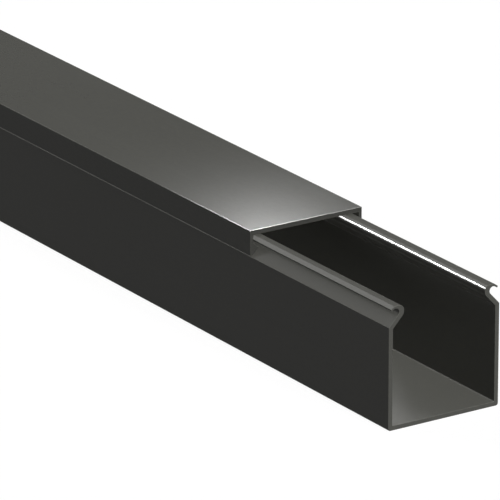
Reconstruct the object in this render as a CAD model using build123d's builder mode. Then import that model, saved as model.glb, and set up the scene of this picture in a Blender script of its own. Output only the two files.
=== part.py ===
"""Solid-wall wiring duct: an extruded channel with snap rails, and its clip-on cover.

Lengths are in millimetres and angles in degrees. +X runs along the duct and out of its open
end, +Z points away from the mounting face, and the origin is the centre of that face. Both
sections are drawn for the +Y wall, seen from the open end, and mirrored to the -Y wall.
"""
import os
from math import cos, radians, sin, tan

from build123d import *

# Base channel
duct_length = 1000.0
base_width = 57.2
shoulder_height = 46.9
wall = 2.05
floor_thickness = 2.05
bottom_corner_radius = 1.1
shoulder_radius = 0.25
floor_fillet = 0.5

# Snap rail: leans inward from the shoulder, curls back over a recess and ends in a lip
rail_lean = 47.0
rail_slope_length = 6.9
recess_radius = 1.85
rail_back_wall = 2.45
rail_top_wall = 1.1
rail_top_radius = 2.4
rail_bend_radius = 2.5
rail_foot_radius = 0.6
lip_drop = 34.0
lip_thickness = 0.9
lip_tip_radius = 0.35
lip_crest_radius = 0.8

# Clip-on cover, pushed back from the open end
cover_length = 1000.0
cover_setback = 106.0
cover_overhang = 0.75
cover_thickness = 2.25
cover_corner_radius = 0.4
cover_inside_fillet = 0.4
flange_thickness = 1.55
flange_edge_radius = 0.15
barb_reach = 2.75
barb_tip_radius = 0.3
barb_root_fillet = 0.3

# Running clearances between cover and base
headroom = 1.0
shoulder_clearance = 0.8
slope_clearance = 0.3
lip_clearance = 0.2
barb_play = 0.65

# Places that follow from the sizes above
half_width = base_width / 2
inner_wall_y = half_width - wall
flange_outer_y = half_width + cover_overhang
flange_inner_y = flange_outer_y - flange_thickness
lip_tip_y = flange_inner_y - lip_clearance
slope_rise = tan(radians(rail_lean))
lip_fall = tan(radians(lip_drop))


with BuildPart() as duct_base:
    with BuildSketch(Plane.YZ.offset(-duct_length / 2)):
        with BuildLine():
            outer_face = FilletPolyline(
                (0, 0),
                (half_width, 0),
                (half_width, shoulder_height),
                (
                    half_width - rail_slope_length * cos(radians(rail_lean)),
                    shoulder_height + rail_slope_length * sin(radians(rail_lean)),
                ),
                radius=[bottom_corner_radius, shoulder_radius],
            )
            recess_turn = 180 - rail_lean + lip_drop
            recess = JernArc(outer_face @ 1, outer_face % 1, recess_radius, -recess_turn)
            rail_top = recess.arc_center.Y + recess_radius + rail_top_wall
            rail_back_y = recess.arc_center.X - recess_radius - rail_back_wall

            # From the recess: along the lip to its blunt tip, back over the rail's flat top,
            # down the back, along the slope's inner face and down the wall to the floor
            lip_start = recess @ 1
            tip_low = lip_start.Y - (lip_tip_y - lip_start.X) * lip_fall
            tip_high = tip_low + lip_thickness / cos(radians(lip_drop))
            foot_z = shoulder_height - wall * tan(radians(90 - rail_lean) / 2)
            FilletPolyline(
                lip_start,
                (lip_tip_y, tip_low),
                (lip_tip_y, tip_high),
                (lip_tip_y - (rail_top - tip_high) / lip_fall, rail_top),
                (rail_back_y, rail_top),
                (rail_back_y, foot_z + (inner_wall_y - rail_back_y) * slope_rise),
                (inner_wall_y, foot_z),
                (inner_wall_y, floor_thickness),
                (0, floor_thickness),
                radius=[
                    lip_tip_radius,
                    lip_tip_radius,
                    lip_crest_radius,
                    rail_top_radius,
                    rail_bend_radius,
                    rail_foot_radius,
                    floor_fillet,
                ],
            )
            mirror(about=Plane.YZ)
        make_face()
    extrude(amount=duct_length)
duct_base.part.label = "duct_base"


flange_bottom = shoulder_height + shoulder_clearance
cover_underside = rail_top + headroom
cover_top = cover_underside + cover_thickness

# Each barb lies along the rail's slope, with its tip below the lip that it catches
barb_lift = slope_clearance / cos(radians(rail_lean))
barb_start_y = half_width - (shoulder_clearance - barb_lift) / slope_rise
barb_tip_y = flange_inner_y - barb_reach
barb_tip_z = shoulder_height + barb_lift + (half_width - barb_tip_y) * slope_rise
barb_root_z = tip_low - barb_play

with BuildPart() as cover:
    with BuildSketch(Plane.YZ.offset(duct_length / 2 - cover_setback - cover_length)):
        with BuildLine():
            FilletPolyline(
                (0, cover_top),
                (flange_outer_y, cover_top),
                (flange_outer_y, flange_bottom),
                (barb_start_y, flange_bottom),
                (barb_tip_y, barb_tip_z),
                (flange_inner_y, barb_root_z),
                (flange_inner_y, cover_underside),
                (0, cover_underside),
                radius=[
                    cover_corner_radius,
                    flange_edge_radius,
                    flange_edge_radius,
                    barb_tip_radius,
                    barb_root_fillet,
                    cover_inside_fillet,
                ],
            )
            mirror(about=Plane.YZ)
        make_face()
    extrude(amount=cover_length)
cover.part.label = "cover"


os.makedirs("parts", exist_ok=True)
export_step(duct_base.part, "parts/duct_base.step")
export_step(cover.part, "parts/cover.step")
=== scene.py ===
"""Looks of the solid-wall wiring duct: two extruded plastic pieces, their sawn ends, floor and light.

Lengths are in metres, with the camera's lens and sensor in millimetres, and angles are in degrees.
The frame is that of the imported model: +X runs out of the duct's open end, +Z points away from its
mounting face, and the origin is the centre of that face.
"""

from math import cos, pi, radians, sin

import bmesh
import bpy
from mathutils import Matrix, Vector


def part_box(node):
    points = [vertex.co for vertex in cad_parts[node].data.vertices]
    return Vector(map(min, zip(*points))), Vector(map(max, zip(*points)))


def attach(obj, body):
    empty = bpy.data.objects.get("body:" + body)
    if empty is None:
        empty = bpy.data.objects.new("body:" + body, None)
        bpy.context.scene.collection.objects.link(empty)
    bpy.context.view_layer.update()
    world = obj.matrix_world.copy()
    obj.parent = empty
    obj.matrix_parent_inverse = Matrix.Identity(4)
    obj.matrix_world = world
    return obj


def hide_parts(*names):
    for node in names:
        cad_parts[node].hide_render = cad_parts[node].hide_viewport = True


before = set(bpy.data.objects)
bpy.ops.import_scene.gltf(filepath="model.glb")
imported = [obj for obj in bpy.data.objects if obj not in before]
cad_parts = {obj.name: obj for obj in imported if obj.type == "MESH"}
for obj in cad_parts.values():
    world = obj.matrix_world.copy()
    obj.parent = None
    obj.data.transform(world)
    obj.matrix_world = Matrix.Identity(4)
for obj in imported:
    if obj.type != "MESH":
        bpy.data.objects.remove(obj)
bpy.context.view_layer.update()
open_end = Vector((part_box("duct_base")[1].x, 0, 0))
MM = 0.001

# Camera: a long lens far away, above the open end and to its left. The two shifts move it
# across its own line of sight
camera_azimuth = 56.82
camera_elevation = 19.64
camera_distance = 2.5963
camera_shift_right = -0.08277
camera_shift_up = 0.07202
camera_lens = 436.8
camera_clip_start = 0.05
camera_clip_end = 200.0
sensor_width = 36.0

# Extruded pieces. The lighter colour of wear and painted edge highlight on a sawn edge ends at
# cut_band from the cut. That on an outer corner starts at the first radius below and is full at the
# second
weld_distance = 0.001 * MM
cut_radius = 0.12 * MM
cut_steps = 3
cut_band = 0.35 * MM
station_gap = 100 * MM
smooth_limit = 28
wear_and_sheen_from_radius = 2.6 * MM
wear_and_sheen_full_radius = 0.35 * MM
sawn_index = 1
map_gap = 4 * MM
map_end_width = 70 * MM
map_end_middle = 30 * MM

# Plastic. Each roughness is that of the smoothest places. The denoiser draws dashes on a face
# whose roughness crosses 0.274, so every material stays on one side of it
base_colour = (0.094, 0.094, 0.084)
base_roughness = 0.277
cover_colour = (0.079, 0.079, 0.070)
cover_roughness = 0.2515
# The cover's sawn end is painted darker than the cover's own colour: painted shade
cover_cut_colour_with_painted_shade = (0.050, 0.050, 0.044)

# Grain of the plastic, in features a metre
die_line_scale = 900
streak_scale = 260
mottle_scale = 700
cloud_scale = 14
rub_scale = 300
tooth_mark_scale = 2600
speckle_scale = 1100

# Floor and room
white = (1.0, 1.0, 1.0, 1.0)
floor_half_size = 40.0
floor_grey = 0.1
floor_glow_share = 0.5
room_grey = 0.01
gloss_share = 0.1

# Suns: name, azimuth, elevation, strength and spread. The fills cast no shadow
shadow_suns = (
    ("top_light", 90, 72, 0.25, 50),
    ("front_light", 90, 35, 0.41, 20),
    ("side_light", 303, 21, 0.165, 20),
)
fill_suns = (
    ("top_fill", 90, 80, 1.43, 20),
    ("front_fill", 90, 35, 1.92, 20),
    ("side_fill", 60, 60, 0.12, 20),
)

# Lamps that show only in gloss. Each edge has its name, normal, distance of the lamp and watts.
# The bend's place is its y and z, and that on the inner floor is taken from the open end
top_sheen_place = (0.132, 0.152, 0.270)
top_sheen_aim = (0.78, -0.62, 0.0)
edge_sheens = (
    ("front_edge_sheen", (1, 0, 1), 0.40, 10.0),
    ("long_edge_sheen", (0, -1, 1), 0.25, 2.8),
)
rail_lip_normal = (0, -0.56, 0.83)
rail_bend_normal = (0, -0.875, 0.485)
rail_bend_place = (21.3 * MM, 54.9 * MM)
line_lamps = 10
line_lamp_distance = 50 * MM
line_end_gap = 5 * MM
inner_floor_place = (-24 * MM, -14 * MM, 2 * MM)
inner_floor_lamp_distance = 60 * MM


def direction(azimuth, elevation):
    """Unit vector to a place seen from the origin: azimuth 0 is -Y, 90 is +X."""
    a, e = radians(azimuth), radians(elevation)
    return Vector((sin(a) * cos(e), -cos(a) * cos(e), sin(e)))


# Camera

def add_camera():
    """The camera, at the photograph's viewing angle."""
    back = direction(camera_azimuth, camera_elevation)
    right = direction(camera_azimuth + 90, 0)
    up = back.cross(right)
    data = bpy.data.cameras.new("camera")
    data.sensor_width = sensor_width
    data.lens = camera_lens
    data.clip_start = camera_clip_start
    data.clip_end = camera_clip_end
    camera = bpy.data.objects.new("camera", data)
    camera.location = (
        open_end + back * camera_distance + right * camera_shift_right + up * camera_shift_up
    )
    camera.rotation_mode = "QUATERNION"
    camera.rotation_quaternion = (-back).to_track_quat("-Z", "Y")
    bpy.context.scene.collection.objects.link(camera)
    bpy.context.scene.camera = camera


# Node helpers

def add_node(tree, kind, **values):
    """A shader node, with its properties, or its inputs by name, set from values."""
    node = tree.nodes.new(kind)
    for name, value in values.items():
        if hasattr(node, name):
            setattr(node, name, value)
        else:
            node.inputs[name].default_value = value
    return node


def new_material(name):
    """A material with no nodes yet, and its node tree."""
    material = bpy.data.materials.new(name)
    material.use_nodes = True
    material.node_tree.nodes.clear()
    return material, material.node_tree


def grain(tree, scale, stretch=(1, 1, 1), detail=2.0, offset=0.0):
    """Noise from 0 to 1 in the piece's own coordinates. scale is features a metre."""
    place = add_node(tree, "ShaderNodeTexCoord")
    mapping = add_node(tree, "ShaderNodeMapping")
    mapping.inputs["Scale"].default_value = stretch
    mapping.inputs["Location"].default_value = (offset, offset, offset)
    noise = add_node(tree, "ShaderNodeTexNoise", Scale=scale, Detail=detail, Roughness=0.55)
    tree.links.new(place.outputs["Object"], mapping.inputs["Vector"])
    tree.links.new(mapping.outputs["Vector"], noise.inputs["Vector"])
    return noise.outputs["Fac"]


def remap(tree, value, low, high, from_low=0.3, from_high=0.7):
    """value, from from_low to from_high, spread over low to high."""
    node = add_node(tree, "ShaderNodeMapRange")
    node.inputs["From Min"].default_value = from_low
    node.inputs["From Max"].default_value = from_high
    node.inputs["To Min"].default_value = low
    node.inputs["To Max"].default_value = high
    tree.links.new(value, node.inputs["Value"])
    return node.outputs["Result"]


def combine(tree, operation, a, b):
    """A maths node on two values, each an output or a number."""
    node = add_node(tree, "ShaderNodeMath", operation=operation)
    for socket, value in zip(node.inputs, (a, b)):
        if isinstance(value, (int, float)):
            socket.default_value = value
        else:
            tree.links.new(value, socket)
    return node.outputs["Value"]


def tint(tree, colour, *factors):
    """colour with its brightness multiplied by each factor."""
    total = factors[0]
    for factor in factors[1:]:
        total = combine(tree, "MULTIPLY", total, factor)
    node = add_node(tree, "ShaderNodeVectorMath", operation="SCALE")
    node.inputs[0].default_value = colour
    tree.links.new(total, node.inputs["Scale"])
    return node.outputs["Vector"]


def bump(tree, height, distance, strength, under=None):
    """The normal bent by height, over the bump under it if there is one."""
    node = add_node(tree, "ShaderNodeBump", Distance=distance, Strength=strength)
    tree.links.new(height, node.inputs["Height"])
    if under is not None:
        tree.links.new(under, node.inputs["Normal"])
    return node.outputs["Normal"]


def finish_surface(tree, colour, roughness, normal, specular):
    """The plastic's shader, with its output."""
    shader = add_node(tree, "ShaderNodeBsdfPrincipled")
    shader.inputs["IOR"].default_value = 1.5
    shader.inputs["Specular IOR Level"].default_value = specular
    tree.links.new(colour, shader.inputs["Base Color"])
    tree.links.new(roughness, shader.inputs["Roughness"])
    tree.links.new(normal, shader.inputs["Normal"])
    out = add_node(tree, "ShaderNodeOutputMaterial")
    tree.links.new(shader.outputs["BSDF"], out.inputs["Surface"])


# Materials

def extruded_plastic(name, colour, roughness, seed):
    """Satin rigid plastic straight from the die, with lines and pigment streaks along X."""
    material, tree = new_material(name)
    along = (0.004, 1, 1)
    die_lines = grain(tree, die_line_scale, stretch=along, offset=seed)
    streaks = grain(tree, streak_scale, stretch=along, offset=seed + 3)
    mottle = grain(tree, mottle_scale, stretch=(0.6, 1, 1), offset=seed + 5)
    clouds = grain(tree, cloud_scale, stretch=(0.5, 1, 1), offset=seed + 8)
    rubs = grain(tree, rub_scale, stretch=(0.08, 1, 1), detail=1, offset=seed + 11)
    wear_and_edge_sheen = add_node(tree, "ShaderNodeAttribute", attribute_name="wear_and_edge_sheen").outputs["Fac"]
    # Sawn rims and tight outer corners are painted lighter: partly wear, partly painted edge
    # highlight
    worn_and_sheen = combine(tree, "MULTIPLY", wear_and_edge_sheen, remap(tree, mottle, 0.4, 1.0))

    colour = tint(
        tree,
        colour,
        remap(tree, streaks, 0.988, 1.012),
        remap(tree, mottle, 0.97, 1.03),
        remap(tree, clouds, 0.98, 1.02),
        remap(tree, worn_and_sheen, 1.0, 1.6, from_low=0, from_high=1),
    )
    sheen = combine(tree, "ADD", roughness, remap(tree, die_lines, 0, 0.004))
    sheen = combine(tree, "ADD", sheen, remap(tree, clouds, 0, 0.012))
    sheen = combine(tree, "ADD", sheen, remap(tree, rubs, 0, 0.005, from_low=0.45, from_high=0.75))
    normal = bump(tree, clouds, distance=1.0 * MM, strength=0.04)
    normal = bump(tree, mottle, distance=0.02 * MM, strength=0.05, under=normal)
    normal = bump(tree, die_lines, distance=0.02 * MM, strength=0.012, under=normal)
    finish_surface(tree, colour, sheen, normal, specular=0.5)
    return material


def sawn_plastic(name, colour, seed):
    """The sawn end of the section: duller, with fine tooth marks across it."""
    material, tree = new_material(name)
    marks = grain(tree, tooth_mark_scale, stretch=(1, 0.10, 1), offset=seed)
    mottle = grain(tree, speckle_scale, detail=3, offset=seed + 4)
    colour = tint(tree, colour, remap(tree, marks, 0.93, 1.07), remap(tree, mottle, 0.96, 1.04))
    dull = remap(tree, marks, 0.50, 0.62)
    normal = bump(tree, marks, distance=0.03 * MM, strength=0.35)
    normal = bump(tree, mottle, distance=0.02 * MM, strength=0.2, under=normal)
    finish_surface(tree, colour, dull, normal, specular=0.4)
    return material


# Extruded pieces

def end_outline(node):
    """The closed outline of a node's +X end as (y, z) points, with the plastic on its left."""
    mesh = bmesh.new()
    mesh.from_mesh(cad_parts[node].data)
    bmesh.ops.remove_doubles(mesh, verts=mesh.verts, dist=weld_distance)
    end_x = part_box(node)[1].x
    cap = {f for f in mesh.faces if all(abs(v.co.x - end_x) < weld_distance for v in f.verts)}
    following = {}
    for face in cap:
        for loop in face.loops:
            if sum(f in cap for f in loop.edge.link_faces) == 1:
                following[loop.vert] = loop.link_loop_next.vert
    start = min(following, key=lambda v: (v.co.z, v.co.y))
    ring = [start]
    while following[ring[-1]] is not start:
        ring.append(following[ring[-1]])
    outline = [Vector((v.co.y, v.co.z)) for v in ring]
    mesh.free()
    return outline


def inward_steps(outline):
    """For each point, the move that sets both of its sides 1 m into the plastic."""
    steps = []
    for i, point in enumerate(outline):
        before = (point - outline[i - 1]).normalized()
        after = (outline[(i + 1) % len(outline)] - point).normalized()
        sides = Vector((-before.y - after.y, before.x + after.x))
        steps.append(2 * sides / sides.length_squared)
    return steps


def corner_wear_and_sheen(outline):
    """For each point, from 0 on a flat or a hollow to 1 on a tight outer corner.
    There the colour is lighter, partly as wear and partly as painted edge highlight.
    """
    low = 1 / wear_and_sheen_from_radius
    high = 1 / wear_and_sheen_full_radius
    wear_and_edge_sheen = []
    for i, point in enumerate(outline):
        before = point - outline[i - 1]
        after = outline[(i + 1) % len(outline)] - point
        turn = before.x * after.y - before.y * after.x
        curve = 2 * turn / (before.length * after.length * (before.length + after.length))
        wear_and_edge_sheen.append(min(1.0, max(0.0, (curve - low) / (high - low))))
    return wear_and_edge_sheen


def stations(low, high):
    """(x, inset, rim mask) of each ring of the piece, from its -X end to its +X end.
    The rim mask lightens the sawn edge, partly as wear and partly as painted edge highlight.
    """
    near = []
    for step in range(cut_steps + 1):
        angle = pi / 2 * step / cut_steps
        near.append((cut_radius * (1 - cos(angle)), cut_radius * (1 - sin(angle)), 1.0))
    near.append((cut_band, 0.0, 0.0))
    # An even count puts a ring in the middle, where one strip of the map ends
    count = round((high - low) / station_gap / 2) * 2
    middle = [(low + (high - low) * i / count, 0.0, 0.0) for i in range(1, count)]
    first = [(low + depth, inset, worn_and_sheen) for depth, inset, worn_and_sheen in near]
    last = [(high - depth, inset, worn_and_sheen) for depth, inset, worn_and_sheen in reversed(near)]
    return first + middle + last


def add_rings(mesh, outline, low, high):
    """Copies of the outline from one end to the other, with each point's mask of wear and painted
    edge highlight.
    """
    inward = inward_steps(outline)
    wear_and_edge_sheen = corner_wear_and_sheen(outline)
    worn_and_sheen_layer = mesh.verts.layers.float.new("wear_and_edge_sheen")
    rings = []
    for x, inset, worn_and_sheen in stations(low, high):
        ring = []
        for point, step, edge in zip(outline, inward, wear_and_edge_sheen):
            place = point + step * inset
            vert = mesh.verts.new((x, place.x, place.y))
            vert[worn_and_sheen_layer] = max(worn_and_sheen, edge)
            ring.append(vert)
        rings.append(ring)
    return rings


def add_faces(mesh, rings):
    """The drawn faces between the rings, and the two sawn ends in the second material."""
    count = len(rings[0])
    for ring, after in zip(rings, rings[1:]):
        for j in range(count):
            k = (j + 1) % count
            mesh.faces.new((ring[j], ring[k], after[k], after[j]))
    for ring in (rings[0][::-1], rings[-1]):
        mesh.faces.new(ring).material_index = sawn_index
    mesh.normal_update()
    for edge in mesh.edges:
        edge.smooth = edge.calc_face_angle(pi) < radians(smooth_limit)
    for face in mesh.faces:
        face.smooth = True


def lay_out(mesh, rings, outline, low, high):
    """Maps the piece flat for baking: two strips of half its length, with the ends beside them."""
    layer = mesh.loops.layers.uv.new("OFBake")
    lengths = [0.0]
    for i, point in enumerate(outline):
        lengths.append(lengths[-1] + (outline[(i + 1) % len(outline)] - point).length)
    around = lengths[-1]
    half = (high - low) / 2
    scale = 1 / (max(2 * around + map_gap, half + map_gap + map_end_width) + 2 * map_gap)
    count = len(outline)
    place_of = {vert: j for ring in rings for j, vert in enumerate(ring)}
    for face in mesh.faces:
        row = 0 if face.calc_center_median().x < (low + high) / 2 else 1
        bottom = map_gap + row * (around + map_gap)
        places = [place_of[loop.vert] for loop in face.loops]
        is_end = len(places) > 4
        # The face that closes the outline runs up to its full length, and not back to 0
        wraps = set(places) == {0, count - 1}
        for loop, place in zip(face.loops, places):
            x, y, z = loop.vert.co
            if is_end:
                u = half + 2 * map_gap + map_end_middle + y
                v = bottom + z
            else:
                u = map_gap + x - low - row * half
                v = bottom + lengths[count if wraps and place == 0 else place]
            loop[layer].uv = (u * scale, v * scale)


def extruded_mesh(name, node):
    """The node's section drawn to its length, with slightly rounded cuts at both ends."""
    outline = end_outline(node)
    low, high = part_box(node)[0].x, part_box(node)[1].x
    mesh = bmesh.new()
    rings = add_rings(mesh, outline, low, high)
    add_faces(mesh, rings)
    lay_out(mesh, rings, outline, low, high)
    data = bpy.data.meshes.new(name)
    mesh.to_mesh(data)
    mesh.free()
    return data


def extruded_piece(name, node, body, drawn, sawn):
    """An extruded piece in the node's place, in its drawn and its sawn material."""
    data = extruded_mesh(name, node)
    data.materials.append(drawn)
    data.materials.append(sawn)
    piece = bpy.data.objects.new(name, data)
    bpy.context.scene.collection.objects.link(piece)
    weighted = piece.modifiers.new("weighted_normals", "WEIGHTED_NORMAL")
    weighted.keep_sharp = True
    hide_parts(node)
    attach(piece, body)
    return piece


# Floor and room

def background_share(tree):
    """Share of the white background that a ray sees: all for camera and glass, little in gloss."""
    path = add_node(tree, "ShaderNodeLightPath")
    camera = path.outputs["Is Camera Ray"]
    glass = path.outputs["Is Transmission Ray"]
    clear = combine(tree, "MAXIMUM", camera, glass)
    gloss = combine(tree, "MULTIPLY", path.outputs["Is Glossy Ray"], gloss_share)
    return combine(tree, "MAXIMUM", clear, gloss)


def add_floor():
    """The floor: nearly white to the camera, with the piece's faint shadow, and else dark grey."""
    mesh = bmesh.new()
    s = floor_half_size
    corners = ((-s, -s), (s, -s), (s, s), (-s, s))
    mesh.faces.new([mesh.verts.new((x, y, 0)) for x, y in corners])
    data = bpy.data.meshes.new("floor")
    mesh.to_mesh(data)
    mesh.free()
    material, tree = new_material("floor_paint")
    matte = add_node(tree, "ShaderNodeBsdfDiffuse", Color=(floor_grey, floor_grey, floor_grey, 1.0))
    paint = add_node(tree, "ShaderNodeBsdfDiffuse", Color=white)
    glow = add_node(tree, "ShaderNodeEmission", Color=white, Strength=1.0)
    pale = add_node(tree, "ShaderNodeMixShader", Fac=floor_glow_share)
    tree.links.new(paint.outputs[0], pale.inputs[1])
    tree.links.new(glow.outputs[0], pale.inputs[2])
    mix = add_node(tree, "ShaderNodeMixShader")
    tree.links.new(background_share(tree), mix.inputs[0])
    tree.links.new(matte.outputs[0], mix.inputs[1])
    tree.links.new(pale.outputs[0], mix.inputs[2])
    out = add_node(tree, "ShaderNodeOutputMaterial")
    tree.links.new(mix.outputs[0], out.inputs["Surface"])
    data.materials.append(material)
    floor = bpy.data.objects.new("floor", data)
    bpy.context.scene.collection.objects.link(floor)


def add_room():
    """A plain room: white to the camera, and dim as a light."""
    world = bpy.data.worlds.new("room")
    world.use_nodes = True
    tree = world.node_tree
    tree.nodes.clear()
    dim = add_node(tree, "ShaderNodeBackground", Color=(room_grey, room_grey, room_grey, 1.0))
    bright = add_node(tree, "ShaderNodeBackground", Color=white)
    mix = add_node(tree, "ShaderNodeMixShader")
    tree.links.new(background_share(tree), mix.inputs[0])
    tree.links.new(dim.outputs[0], mix.inputs[1])
    tree.links.new(bright.outputs[0], mix.inputs[2])
    out = add_node(tree, "ShaderNodeOutputWorld")
    tree.links.new(mix.outputs[0], out.inputs["Surface"])
    bpy.context.scene.world = world


# Light

def add_sun(name, toward, strength, spread):
    """A sun that stands in the direction toward."""
    data = bpy.data.lights.new(name, "SUN")
    data.energy = strength
    data.angle = radians(spread)
    lamp = bpy.data.objects.new(name, data)
    lamp.rotation_mode = "QUATERNION"
    lamp.rotation_quaternion = Vector(toward).to_track_quat("Z", "Y")
    bpy.context.scene.collection.objects.link(lamp)
    return lamp


def add_spot(name, place, aim, watts, cone, size):
    """A spot at place that shines in the direction aim."""
    data = bpy.data.lights.new(name, "SPOT")
    data.energy = watts
    data.spot_size = radians(cone)
    data.spot_blend = 1.0
    data.shadow_soft_size = size
    lamp = bpy.data.objects.new(name, data)
    lamp.location = place
    lamp.rotation_mode = "QUATERNION"
    lamp.rotation_quaternion = (-Vector(aim)).to_track_quat("Z", "Y")
    lamp.visible_camera = False
    bpy.context.scene.collection.objects.link(lamp)
    return lamp


def mirrored(point, normal):
    """The way from point to a lamp that the camera sees mirrored there, given the normal."""
    back = (bpy.context.scene.camera.location - point).normalized()
    facing = Vector(normal).normalized()
    return 2 * back.dot(facing) * facing - back


def add_glint(name, point, normal, distance, watts, cone, size):
    """A spot that the camera sees mirrored at point, on a face with that normal."""
    way = mirrored(point, normal)
    return add_spot(name, point + way * distance, -way, watts, cone, size)


def gloss_only(lamp, piece):
    """The lamp shows only in the sheen of the piece, and nothing else shades it."""
    lamp.visible_diffuse = False
    lit = bpy.data.collections.new(lamp.name + "_pieces")
    lit.objects.link(piece)
    lamp.light_linking.receiver_collection = lit
    lamp.light_linking.blocker_collection = lit


def add_cover_sheen(cover):
    """The sheen on the cover's top, and on the two sharp edges that meet at its near corner."""
    top = add_spot(
        "top_sheen", top_sheen_place, top_sheen_aim, watts=3.65, cone=104, size=20 * MM
    )
    gloss_only(top, cover)
    low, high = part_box("cover")
    corner = Vector((high.x, low.y, high.z))
    for name, normal, distance, watts in edge_sheens:
        lamp = add_glint(name, corner, normal, distance, watts, cone=30, size=10 * MM)
        gloss_only(lamp, cover)


def add_lip_sheen(channel):
    """The sheen along the near rail's lip."""
    low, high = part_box("duct_base")
    toward = mirrored(Vector((high.x, low.y, high.z)), rail_lip_normal)
    lamp = add_sun("lip_sheen", toward, strength=0.177, spread=20)
    lamp.data.use_shadow = False
    gloss_only(lamp, channel)


def add_rail_line(channel):
    """The bright line along the far rail's bend, where the cover at rest leaves it open."""
    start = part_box("cover")[1].x
    finish = open_end.x - line_end_gap
    for i in range(line_lamps):
        point = Vector((start + (finish - start) * i / (line_lamps - 1), *rail_bend_place))
        lamp = add_glint(
            "rail_line_" + str(i),
            point,
            rail_bend_normal,
            line_lamp_distance,
            watts=0.10,
            cone=30,
            size=5 * MM,
        )
        gloss_only(lamp, channel)


def add_floor_sheen(channel):
    """The glow on the channel's inner floor, near its open end."""
    point = open_end + Vector(inner_floor_place)
    lamp = add_glint(
        "floor_sheen",
        point,
        (0, 0, 1),
        inner_floor_lamp_distance,
        watts=0.0016,
        cone=110,
        size=14 * MM,
    )
    gloss_only(lamp, channel)


def add_lights(channel, cover):
    """Soft studio light: fills that cast no shadow, weaker suns that do, and lamps for gloss."""
    for name, azimuth, elevation, strength, spread in shadow_suns:
        add_sun(name, direction(azimuth, elevation), strength, spread)
    for name, azimuth, elevation, strength, spread in fill_suns:
        add_sun(name, direction(azimuth, elevation), strength, spread).data.use_shadow = False
    add_cover_sheen(cover)
    add_lip_sheen(channel)
    add_rail_line(channel)
    add_floor_sheen(channel)


bpy.context.scene.view_settings.view_transform = "Standard"
add_camera()
add_room()
add_floor()
channel = extruded_piece(
    "duct_channel",
    "duct_base",
    "duct",
    extruded_plastic("base_extruded", base_colour, base_roughness, seed=0.0),
    sawn_plastic("base_sawn", base_colour, seed=2.0),
)
cover = extruded_piece(
    "duct_cover",
    "cover",
    "clip_cover",
    extruded_plastic("cover_extruded", cover_colour, cover_roughness, seed=20.0),
    # The cover's sawn end takes the darker colour: painted shade
    sawn_plastic("cover_sawn_painted_shade", cover_cut_colour_with_painted_shade, seed=22.0),
)
add_lights(channel, cover)
